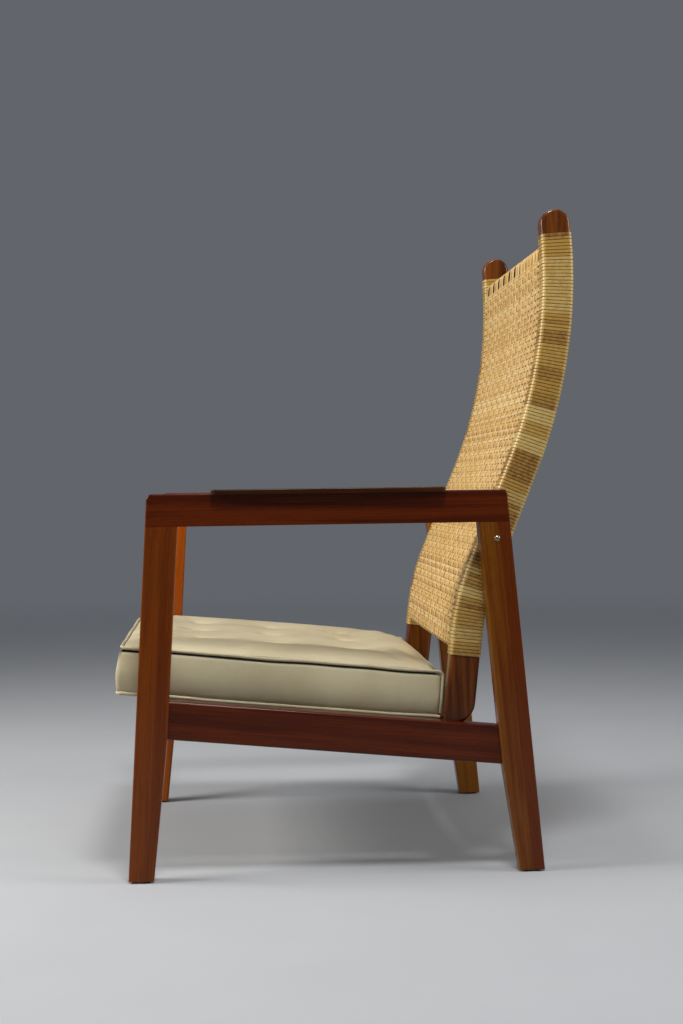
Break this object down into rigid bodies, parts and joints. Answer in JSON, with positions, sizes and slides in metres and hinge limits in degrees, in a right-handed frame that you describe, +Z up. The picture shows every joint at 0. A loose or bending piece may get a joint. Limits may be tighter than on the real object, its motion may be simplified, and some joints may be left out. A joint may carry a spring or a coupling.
{
  "type": "lounge chair",
  "caption": "High-backed wooden lounge chair with open arms, a tall S-shaped back woven in cane, and a loose tufted leather seat cushion that lifts out.",
  "frame": {"origin": "on the floor under the middle of the chair's outline", "axes": "+X to the sitter's left, -Y to the front of the chair, +Z up"},
  "size_m": [0.67, 0.7138, 1.0098],
  "materials": {
    "frame_wood": "gloss",
    "post_wood": "gloss",
    "pad_wood": "satin",
    "dowel_wood": "matte",
    "cane": "satin",
    "steel": "satin",
    "webbing": "matte",
    "glide": "matte",
    "leather": "satin",
    "foam": "matte",
    "thread": "matte"
  },
  "bodies": {
    "frame": {"front_leg_left": "frame_wood", "front_leg_right": "frame_wood", "rear_leg_left": "frame_wood", "rear_leg_right": "frame_wood", "arm_rail_left": "frame_wood", "arm_rail_right": "frame_wood", "side_rail_left": "frame_wood", "side_rail_right": "frame_wood", "front_cross_rail": "frame_wood", "rear_cross_rail": "frame_wood", "back_post_left": "post_wood", "back_post_right": "post_wood", "back_top_rail": "post_wood", "back_bottom_rail": "post_wood", "arm_pad_left": "pad_wood", "arm_pad_right": "pad_wood", "arm_dowels": "dowel_wood", "side_rail_dowels": "dowel_wood", "cross_rail_dowels": "dowel_wood", "back_rail_dowels": "dowel_wood", "post_foot_dowels": "dowel_wood", "cane_panel": "cane", "cane_wrap_left": "cane", "cane_wrap_right": "cane", "pad_screws": "steel", "back_bolts": "steel", "back_spacers": "steel", "insert_nuts": "steel", "webbing_clips": "steel", "glide_nails": "steel", "webbing_straps": "webbing", "foot_glides": "glide"},
    "cushion": {"cushion_cover": "leather", "cushion_foam": "foam", "cushion_top_welt": "leather", "cushion_bottom_welt": "leather", "tuft_ties": "thread"}
  },
  "joints": [
    {"name": "cushion_lift", "type": "slide", "parent": "frame", "child": "cushion", "axis": [0, 0, 1], "range_m": [0, 0.4]}
  ]
}
